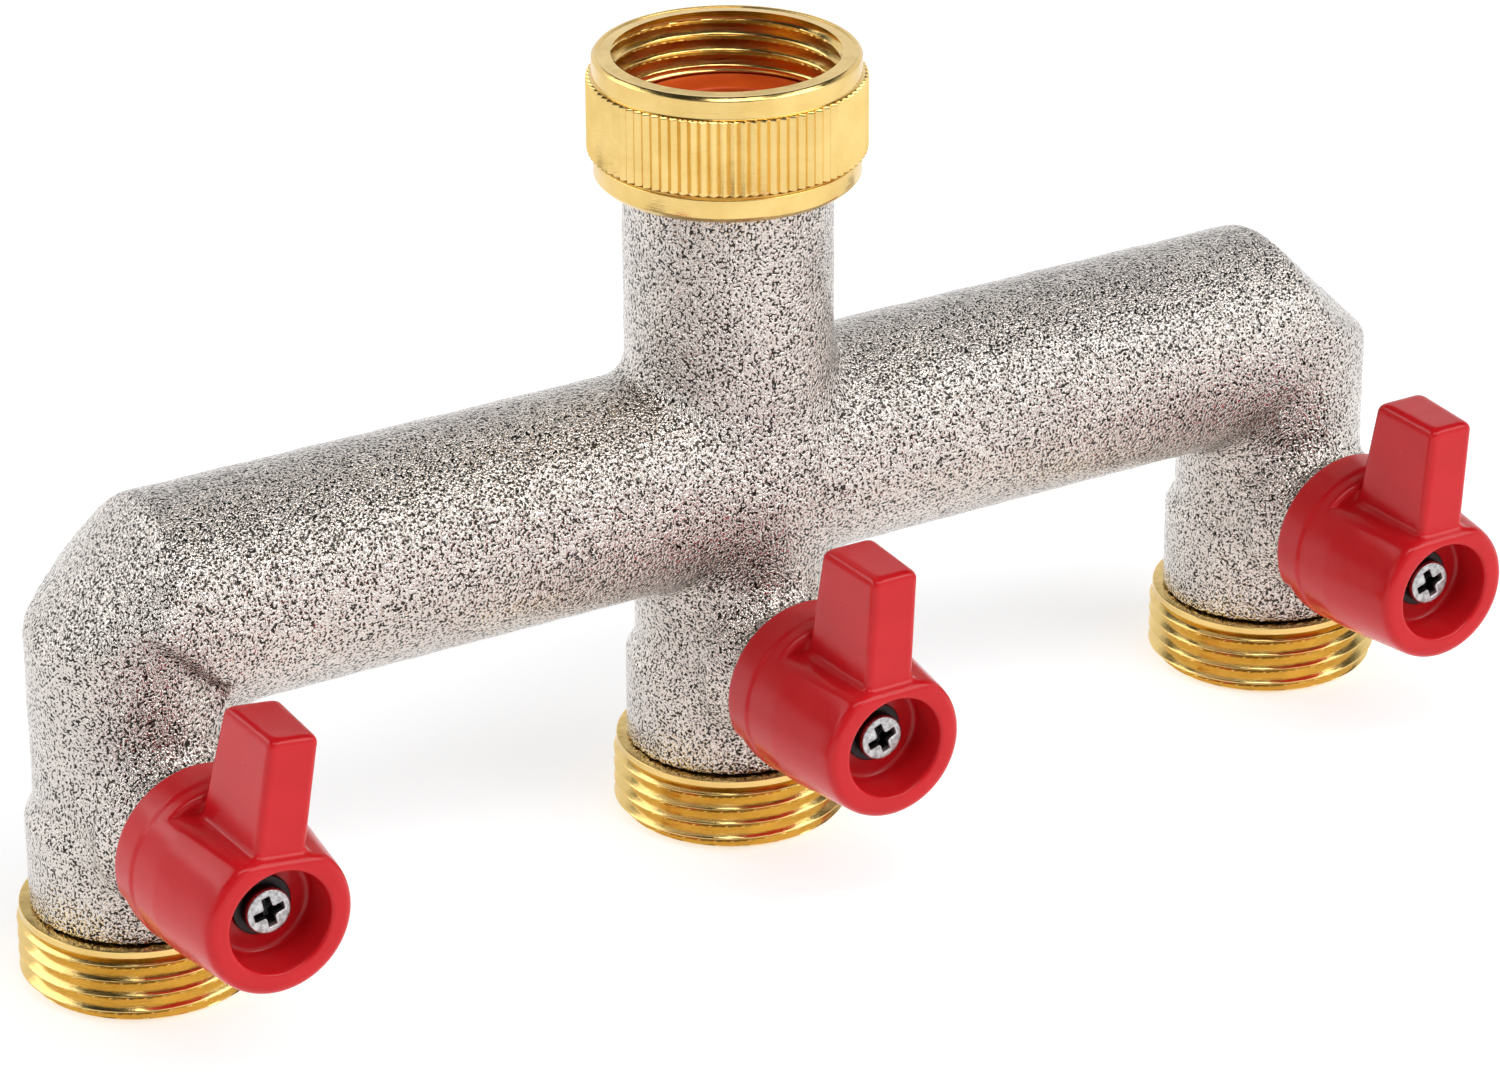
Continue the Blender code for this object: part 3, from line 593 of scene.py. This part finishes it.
def make_outlet_mesh():
    flange = [
        (SPIGOT_RADIUS, SPIGOT_TOP),
        (SPIGOT_RADIUS, FLANGE_TOP),
        (FLANGE_RADIUS, FLANGE_TOP),
        (FLANGE_RADIUS, FLANGE_BOTTOM),
    ]
    bore = [(LEAD_RADIUS, 0.0), (OUTLET_BORE, 0.0), (OUTLET_BORE, 7.0), (SPIGOT_BORE, 8.8), (SPIGOT_BORE, SPIGOT_TOP)]
    profile = rounded(flange, 0.15, closed=False)
    profile += [(CORE_RADIUS, height) for height in np.arange(THREAD_TOP, 0.02, -THREAD_STEP)]
    profile += rounded(bore, 0.15, closed=False)
    return turned(subdivided(profile, 1.5), OUTLET_STEPS, outlet_radius)


# ---------------------------------------------------------------- handle and screw, about the valve's axis


def towards(x, up, degrees_clockwise):
    """Distances along and across a direction that leans clockwise from straight up."""
    lean = radians(degrees_clockwise)
    return x * sin(lean) + up * cos(lean), x * cos(lean) - up * sin(lean)


def handle_distance(x, y, z):
    forward = -y
    out = np.hypot(x, z)
    barrel = out - np.interp(forward, OUTLINE_FORWARD, OUTLINE_RADIUS)
    land = np.minimum(z - LAND_HEIGHT, forward - LAND_FRONT)
    barrel = overlap(barrel, land, 0.7)
    barrel = overlap(barrel, forward - HANDLE_FRONT, 1.1)
    barrel = overlap(barrel, SKIRT_BACK - forward, 0.5)
    rise = (z - WING_BASE) / WING_HEIGHT
    backward = np.clip((33.0 - forward) / 10.0, 0.0, 1.0)
    half_width = WING_HALF_WIDTH + WING_BACK_FLARE * backward + WING_FOOT_FLARE * np.clip(1.0 - rise, 0.0, 1.0)
    wing = np.abs(x) - half_width
    wing = overlap(wing, forward - mix(*WING_FRONT, rise), WING_BLEND)
    wing = overlap(wing, mix(*WING_BACK, rise) - forward, WING_BLEND)
    wing = overlap(wing, z - WING_TOP, 1.1)
    wing = np.maximum(wing, 2.0 - z)
    shape = union(barrel, wing, WING_BLEND)
    recess = overlap(out - RECESS_RADIUS, RECESS_FLOOR - forward, 0.8)
    shape = minus(shape, recess, 0.5)
    cavity = np.maximum(out - CAVITY_RADIUS, forward - CAVITY_FLOOR)
    socket = np.maximum(np.maximum(np.abs(x), np.abs(z)) - STEM_SQUARE, forward - STEM_SQUARE_FLOOR)
    hole = np.maximum(out - SCREW_HOLE_RADIUS, span(forward, 25.0, RECESS_FLOOR + 1.0))
    shape = minus(shape, union(union(cavity, socket), hole), 0.25)
    for lean in RIB_LEANS:
        along, across = towards(x, z, lean)
        ends = np.maximum(span(along, *RIB_ALONG), span(forward, *RIB_FORWARD))
        rib = np.maximum(np.abs(across) - RIB_HALF_WIDTH, ends)
        shape = union(shape, rib, 0.3)
    along, across = towards(x, z, NOTCH_LEAN)
    notch = np.maximum(np.maximum(np.abs(across) - NOTCH_HALF_WIDTH, NOTCH_INNER - along), forward - NOTCH_FLOOR)
    return minus(shape, notch, 0.3)


def screw_distance(x, y, z):
    forward = -y
    out = np.hypot(x, z)
    crown = HEAD_FRONT - 0.1 * (out / 1.7) ** 2
    head = overlap(overlap(forward - crown, out - HEAD_RADIUS, 0.25), HEAD_BACK - forward, 0.2)
    shape = union(head, np.maximum(out - SHANK_RADIUS, span(forward, SHANK_BACK, HEAD_BACK + 0.5)), 0.2)
    depth = np.clip(HEAD_FRONT - forward, 0.0, 2.0)
    reach = CROSS_REACH - 0.45 * depth
    width = CROSS_HALF_WIDTH - 0.10 * depth
    along, across = towards(x, z, CROSS_LEAN)
    arms = union(
        np.maximum(np.abs(across) - reach, np.abs(along) - width),
        np.maximum(np.abs(along) - reach, np.abs(across) - width),
        0.35,
    )
    recess = np.maximum(arms, HEAD_BACK + 0.1 - forward)
    return minus(shape, recess, 0.12)


def ball_distance(x, y, z):
    ball = np.sqrt(x * x + y * y + z * z) - BALL_RADIUS
    ball = minus(ball, np.hypot(x, y) - BALL_BORE, 0.4)
    return minus(ball, np.maximum(np.abs(z) - BALL_SLOT, y + BALL_SLOT_FLOOR), 0.2)


# ---------------------------------------------------------------- materials


class Finish:
    """A Principled material under construction, with object-space coordinates in millimetres."""

    def __init__(self, name, colour, roughness, metallic=0.0):
        self.material = bpy.data.materials.new(name)
        self.material.use_nodes = True
        self.nodes = self.material.node_tree.nodes
        self.links = self.material.node_tree.links
        self.shader = self.nodes["Principled BSDF"]
        self.shader.inputs["Base Color"].default_value = (*colour, 1.0)
        self.shader.inputs["Roughness"].default_value = roughness
        self.shader.inputs["Metallic"].default_value = metallic
        coordinates = self.nodes.new("ShaderNodeTexCoord")
        scale = self.nodes.new("ShaderNodeVectorMath")
        scale.operation = "SCALE"
        scale.inputs["Scale"].default_value = 1.0 / MM
        self.links.new(coordinates.outputs["Object"], scale.inputs[0])
        self.place = scale.outputs[0]

    def forward(self):
        """Distance towards -Y in millimetres."""
        node = self.nodes.new("ShaderNodeSeparateXYZ")
        self.links.new(self.place, node.inputs[0])
        return self.math("MULTIPLY", node.outputs["Y"], -1.0)

    def set(self, socket, value):
        self.shader.inputs[socket].default_value = value

    def stretched(self, x, y, z):
        """Coordinates scaled by axis, for lines and brushed marks."""
        node = self.nodes.new("ShaderNodeVectorMath")
        node.operation = "MULTIPLY"
        self.links.new(self.place, node.inputs[0])
        node.inputs[1].default_value = (x, y, z)
        return node.outputs[0]

    def noise(self, size, detail=2.0, roughness=0.5, place=None):
        """Noise whose blotches are about size millimetres."""
        node = self.nodes.new("ShaderNodeTexNoise")
        self.links.new(place or self.place, node.inputs["Vector"])
        node.inputs["Scale"].default_value = 1.0 / size
        node.inputs["Detail"].default_value = detail
        node.inputs["Roughness"].default_value = roughness
        return node.outputs["Fac"]

    def pebbles(self, size, smoothness=0.4):
        node = self.nodes.new("ShaderNodeTexVoronoi")
        node.feature = "SMOOTH_F1"
        self.links.new(self.place, node.inputs["Vector"])
        node.inputs["Scale"].default_value = 1.0 / size
        node.inputs["Smoothness"].default_value = smoothness
        return node.outputs["Distance"]

    def math(self, operation, a, b):
        node = self.nodes.new("ShaderNodeMath")
        node.operation = operation
        for socket, value in zip(node.inputs, (a, b)):
            if isinstance(value, (int, float)):
                socket.default_value = value
            else:
                self.links.new(value, socket)
        return node.outputs[0]

    def remap(self, value, low=0.3, high=0.7, to_low=0.0, to_high=1.0):
        """The value from low to high, clamped and stretched to the other range. Noise mostly lies in 0.3 to 0.7."""
        node = self.nodes.new("ShaderNodeMapRange")
        self.links.new(value, node.inputs["Value"])
        for socket, number in zip(("From Min", "From Max", "To Min", "To Max"), (low, high, to_low, to_high)):
            node.inputs[socket].default_value = number
        return node.outputs["Result"]

    def colour(self, factor, first, second):
        node = self.nodes.new("ShaderNodeMix")
        node.data_type = "RGBA"
        self.links.new(factor, node.inputs["Factor"])
        node.inputs["A"].default_value = (*first, 1.0)
        node.inputs["B"].default_value = (*second, 1.0)
        self.links.new(node.outputs["Result"], self.shader.inputs["Base Color"])

    def darken(self, factor, tint):
        """Multiplies the colour by the tint where the factor is 0, and leaves it where the factor is 1."""
        before = self.shader.inputs["Base Color"].links[0].from_socket
        node = self.nodes.new("ShaderNodeMix")
        node.data_type = "RGBA"
        node.blend_type = "MULTIPLY"
        self.links.new(self.math("SUBTRACT", 1.0, factor), node.inputs["Factor"])
        self.links.new(before, node.inputs["A"])
        node.inputs["B"].default_value = (*tint, 1.0)
        self.links.new(node.outputs["Result"], self.shader.inputs["Base Color"])

    def rough(self, value):
        self.links.new(value, self.shader.inputs["Roughness"])

    def bump(self, height, depth):
        """Bump of a height from 0 to 1 times depth millimetres, on top of any earlier bump."""
        node = self.nodes.new("ShaderNodeBump")
        node.inputs["Strength"].default_value = 1.0
        node.inputs["Distance"].default_value = depth * MM
        self.links.new(height, node.inputs["Height"])
        before = self.shader.inputs["Normal"].links
        if before:
            self.links.new(before[0].from_socket, node.inputs["Normal"])
        self.links.new(node.outputs["Normal"], self.shader.inputs["Normal"])


def cast_nickel():
    finish = Finish("cast_nickel", (0.62, 0.55, 0.51), 0.2, 1.0)
    stains = finish.remap(finish.noise(9.0, 3.0, 0.55))
    finish.colour(stains, (0.72, 0.665, 0.615), (0.64, 0.59, 0.55))
    specks = finish.noise(0.31, 1.0, 0.5)
    # Painted shade: dark specks where the grain's bump is low, standing in for shade in its hollows.
    pit_shade = finish.remap(specks, 0.40, 0.45)
    finish.darken(pit_shade, (0.055, 0.053, 0.05))
    finish.rough(finish.remap(finish.noise(1.2, 2.0), 0.3, 0.7, 0.02, 0.09))
    finish.bump(finish.noise(2.4, 2.0), 0.08)
    finish.bump(finish.remap(specks, 0.34, 0.66), 0.12)
    finish.bump(finish.pebbles(0.44), 0.09)
    return finish.material


def turned_brass(name="turned_brass", roughness=0.16):
    finish = Finish(name, (0.87, 0.60, 0.20), roughness, 1.0)
    blotches = finish.noise(5.0, 3.0, 0.6)
    finish.colour(finish.remap(blotches), (0.83, 0.605, 0.235), (0.73, 0.505, 0.17))
    lines = finish.noise(0.20, 3.0, 0.6, finish.stretched(0.06, 0.06, 1.0))
    finish.rough(finish.remap(lines, 0.3, 0.7, roughness - 0.05, roughness + 0.10))
    finish.bump(finish.noise(3.0, 2.0), 0.05)
    finish.bump(lines, 0.012)
    finish.bump(finish.noise(0.5, 4.0, 0.7), 0.008)
    return finish.material


def handle_plastic():
    finish = Finish("handle_plastic", (0.60, 0.018, 0.024), 0.24)
    shade = finish.remap(finish.noise(6.0, 2.0))
    finish.colour(shade, (0.60, 0.011, 0.016), (0.54, 0.009, 0.013))
    scuffs = finish.noise(0.35, 4.0, 0.7, finish.stretched(1.0, 0.35, 0.5))
    finish.rough(finish.remap(scuffs, 0.35, 0.75, 0.17, 0.29))
    finish.bump(finish.noise(4.0, 1.0), 0.06)
    finish.bump(finish.noise(0.16, 2.0), 0.002)
    finish.set("Specular IOR Level", 0.28)
    return finish.material


def screw_steel():
    finish = Finish("screw_steel", (0.74, 0.74, 0.75), 0.18, 1.0)
    stain = finish.remap(finish.noise(0.6, 3.0, 0.7), 0.4, 0.6)
    finish.colour(stain, (0.62, 0.62, 0.63), (0.34, 0.335, 0.33))
    # Painted shade: the head's sides and everything deeper in the recess are darkened almost to black.
    recess_shade = finish.remap(finish.forward(), HEAD_FRONT - 0.75, HEAD_FRONT - 0.35)
    finish.darken(recess_shade, (0.07, 0.07, 0.07))
    marks = finish.noise(0.12, 3.0, 0.7)
    finish.rough(finish.remap(marks, 0.3, 0.7, 0.22, 0.42))
    finish.bump(marks, 0.012)
    return finish.material


def plated_ball():
    finish = Finish("plated_ball", (0.80, 0.80, 0.82), 0.08, 1.0)
    wear = finish.noise(0.7, 4.0, 0.7, finish.stretched(1.0, 1.0, 0.3))
    finish.colour(finish.remap(wear, 0.35), (0.82, 0.82, 0.84), (0.70, 0.69, 0.68))
    finish.rough(finish.remap(wear, 0.3, 0.7, 0.05, 0.18))
    finish.bump(wear, 0.004)
    return finish.material


def rubber(name, light, dark, roughness):
    finish = Finish(name, light, roughness)
    patches = finish.noise(2.5, 3.0, 0.6)
    finish.colour(finish.remap(patches), light, dark)
    grain = finish.noise(0.18, 3.0, 0.6)
    finish.rough(finish.remap(grain, 0.3, 0.7, roughness - 0.1, roughness + 0.12))
    finish.bump(finish.noise(1.6, 2.0), 0.06)
    finish.bump(grain, 0.02)
    return finish.material


def seat_ptfe():
    finish = Finish("seat_ptfe", (0.84, 0.84, 0.82), 0.42)
    lines = finish.noise(0.25, 3.0, 0.6)
    finish.colour(finish.remap(finish.noise(2.0)), (0.86, 0.86, 0.84), (0.76, 0.75, 0.71))
    finish.rough(finish.remap(lines, 0.3, 0.7, 0.34, 0.52))
    finish.bump(lines, 0.01)
    finish.set("Subsurface Weight", 0.2)
    return finish.material


FINISHES = {
    "cast_nickel": cast_nickel(),
    "turned_brass": turned_brass(),
    "inner_brass": turned_brass("inner_brass", 0.22),
    "plated_ball": plated_ball(),
    "screw_steel": screw_steel(),
    "handle_plastic": handle_plastic(),
    "washer_rubber": rubber("washer_rubber", (0.86, 0.11, 0.008), (0.74, 0.075, 0.005), 0.5),
    "seal_rubber": rubber("seal_rubber", (0.022, 0.022, 0.023), (0.012, 0.012, 0.012), 0.5),
    "seat_ptfe": seat_ptfe(),
}


def finish_piece(obj, body, slot, *nodes):
    obj.data.materials.clear()
    obj.data.materials.append(FINISHES[slot])
    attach(obj, body)
    if nodes:
        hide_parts(*nodes)


# ---------------------------------------------------------------- pieces

finish_piece(make_casting(), "manifold", "cast_nickel", "body_casting")
finish_piece(make_nut(), "inlet_nut", "turned_brass", "swivel_nut")

washer_profile = rounded(ring_corners(WASHER_RADII, WASHER_HEIGHTS), 0.35)
washer = new_object("hose_washer", *turned(subdivided(washer_profile, 1.0), RING_STEPS), (0.0, AXIS_Y, 0.0))
finish_piece(washer, "manifold", "washer_rubber", "inlet_washer")

outlet_points, outlet_quads = make_outlet_mesh()
handle_points, handle_quads = surface_of(handle_distance, *HANDLE_BOX, HANDLE_STEP)
screw_points, screw_quads = surface_of(screw_distance, *SCREW_BOX, SCREW_STEP)
ball_points, ball_quads = surface_of(ball_distance, *BALL_BOX, BALL_STEP)
ring_profile = rounded(ring_corners(HEAD_RING_RADII, HEAD_RING_FORWARD), 0.2)
ring_points, ring_quads = turned(subdivided(ring_profile, 0.4), HEAD_RING_STEPS, forward=True)

for side in SIDES:
    centre = VALVE_CENTRES[side]
    turn = VALVE_TURNS[side]
    valve = f"{side}_valve"
    outlet = new_object(
        f"{side}_hose_end", outlet_points, outlet_quads, (OUTLET_X[side], AXIS_Y, 0.0), soft_angle=35.0
    )
    finish_piece(outlet, "manifold", "turned_brass", f"{side}_outlet")
    handle = new_object(f"{side}_lever", handle_points, handle_quads, centre, turn)
    finish_piece(handle, valve, "handle_plastic", f"{side}_handle")
    screw = new_object(f"{side}_cross_screw", screw_points, screw_quads, centre, turn, 40.0)
    finish_piece(screw, valve, "screw_steel", f"{side}_handle_screw")
    ring = new_object(f"{side}_head_ring", ring_points, ring_quads, centre, turn)
    finish_piece(ring, valve, "seal_rubber", f"{side}_screw_washer")
    ball = new_object(f"{side}_bored_ball", ball_points, ball_quads, centre, turn)
    finish_piece(ball, valve, "plated_ball", f"{side}_ball")

CARRIED = {
    "inner_brass": ["inlet_tailpiece"] + [f"{side}_stem" for side in SIDES],
    "seat_ptfe": [f"{side}_{part}" for side in SIDES for part in ("upper_seat", "lower_seat", "thrust_washer")],
    "seal_rubber": ["tailpiece_o_ring"]
    + [
        f"{side}_{part}"
        for side in SIDES
        for part in ("outlet_o_ring", "stem_o_ring_inner", "stem_o_ring_outer")
    ],
}
for slot_name, nodes in CARRIED.items():
    for node in nodes:
        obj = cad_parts[node]
        obj.data.materials.clear()
        obj.data.materials.append(FINISHES[slot_name])


# ---------------------------------------------------------------- studio


def stage_plane(name, centre, size, colour, roughness, emission):
    mesh = bpy.data.meshes.new(name)
    x, y = size[0] / 2, size[1] / 2
    mesh.from_pydata([(-x, -y, 0), (x, -y, 0), (x, y, 0), (-x, y, 0)], [], [(0, 1, 2, 3)])
    obj = place(name, mesh, centre)
    mat = bpy.data.materials.new(name)
    mat.use_nodes = True
    shader = mat.node_tree.nodes["Principled BSDF"]
    shader.inputs["Base Color"].default_value = (*colour, 1.0)
    shader.inputs["Roughness"].default_value = roughness
    shader.inputs["Emission Color"].default_value = (1.0, 1.0, 1.0, 1.0)
    shader.inputs["Emission Strength"].default_value = emission
    mesh.materials.append(mat)


def area_light(name, azimuth, elevation, size, power):
    """A softbox aimed at the middle of the object."""
    light = bpy.data.lights.new(name, "AREA")
    light.shape = "RECTANGLE"
    light.size, light.size_y = size
    light.energy = power
    obj = bpy.data.objects.new(name, light)
    bpy.context.scene.collection.objects.link(obj)
    a, e = radians(azimuth), radians(elevation)
    back = Vector((sin(a) * cos(e), -cos(a) * cos(e), sin(e)))
    obj.location = Vector((0.0, AXIS_Y, AIM_HEIGHT)) + back * LIGHT_DISTANCE
    obj.rotation_mode = "QUATERNION"
    obj.rotation_quaternion = back.to_track_quat("Z", "Y")


def make_world():
    """White round the horizon, falling to a dark ceiling, with a dark gap where the room is open."""
    world = bpy.data.worlds.new("studio")
    bpy.context.scene.world = world
    world.use_nodes = True
    nodes, links = world.node_tree.nodes, world.node_tree.links
    background = nodes["Background"]
    coordinates = nodes.new("ShaderNodeTexCoord")
    split = nodes.new("ShaderNodeSeparateXYZ")
    links.new(coordinates.outputs["Generated"], split.inputs[0])
    ramp = nodes.new("ShaderNodeValToRGB")
    links.new(split.outputs["Z"], ramp.inputs["Fac"])
    ramp.color_ramp.interpolation = "EASE"
    ramp.color_ramp.elements[0].position = WHITE_BELOW
    ramp.color_ramp.elements[0].color = (1.0, 1.0, 1.0, 1.0)
    ramp.color_ramp.elements[1].position = DARK_ABOVE
    ramp.color_ramp.elements[1].color = (CEILING, CEILING, CEILING, 1.0)
    links.new(ramp.outputs["Color"], background.inputs["Color"])
    towards_gap = nodes.new("ShaderNodeVectorMath")
    towards_gap.operation = "DOT_PRODUCT"
    links.new(coordinates.outputs["Generated"], towards_gap.inputs[0])
    azimuth = radians(GAP_AZIMUTH)
    towards_gap.inputs[1].default_value = (sin(azimuth), -cos(azimuth), 0.0)
    gap = nodes.new("ShaderNodeMapRange")
    gap.interpolation_type = "SMOOTHSTEP"
    links.new(towards_gap.outputs["Value"], gap.inputs["Value"])
    gap.inputs["From Min"].default_value, gap.inputs["From Max"].default_value = GAP_COSINES
    gap.inputs["To Min"].default_value = 1.0
    gap.inputs["To Max"].default_value = GAP_STRENGTH
    links.new(gap.outputs["Result"], background.inputs["Strength"])


make_world()
stage_plane("floor", (0.0, 0.0, -FLOOR_DROP), (FLOOR_SIZE, FLOOR_SIZE), (0.72, 0.72, 0.73), 0.7, 0.57)
area_light("key_right", 38.0, 42.0, (0.70, 0.50), 3.9)
area_light("rim_left", -128.0, 34.0, (0.70, 0.45), 2.0)
area_light("front_top", -18.0, 62.0, (0.50, 0.35), 2.2)

# ---------------------------------------------------------------- camera


def make_camera(position, yaw, pitch, roll, lens):
    """Yaw turns the view from +Y towards +X, pitch tips it down, roll leans the picture."""
    data = bpy.data.cameras.new("camera")
    data.sensor_width = 36.0
    data.lens = lens
    data.clip_start, data.clip_end = 0.01, 20.0
    obj = bpy.data.objects.new("camera", data)
    bpy.context.scene.collection.objects.link(obj)
    a, e, lean = radians(yaw), radians(pitch), radians(roll)
    ahead = Vector((sin(a) * cos(e), cos(a) * cos(e), -sin(e)))
    level_right = Vector((cos(a), -sin(a), 0.0))
    level_up = level_right.cross(ahead)
    right = level_right * cos(lean) + level_up * sin(lean)
    up = level_up * cos(lean) - level_right * sin(lean)
    turn = Matrix((right, up, -ahead)).transposed()
    obj.matrix_world = Matrix.Translation(position) @ turn.to_4x4()
    bpy.context.scene.camera = obj


make_camera(CAMERA_PLACE, CAMERA_YAW, CAMERA_PITCH, CAMERA_ROLL, CAMERA_LENS)
bpy.context.scene.view_settings.view_transform = "Standard"
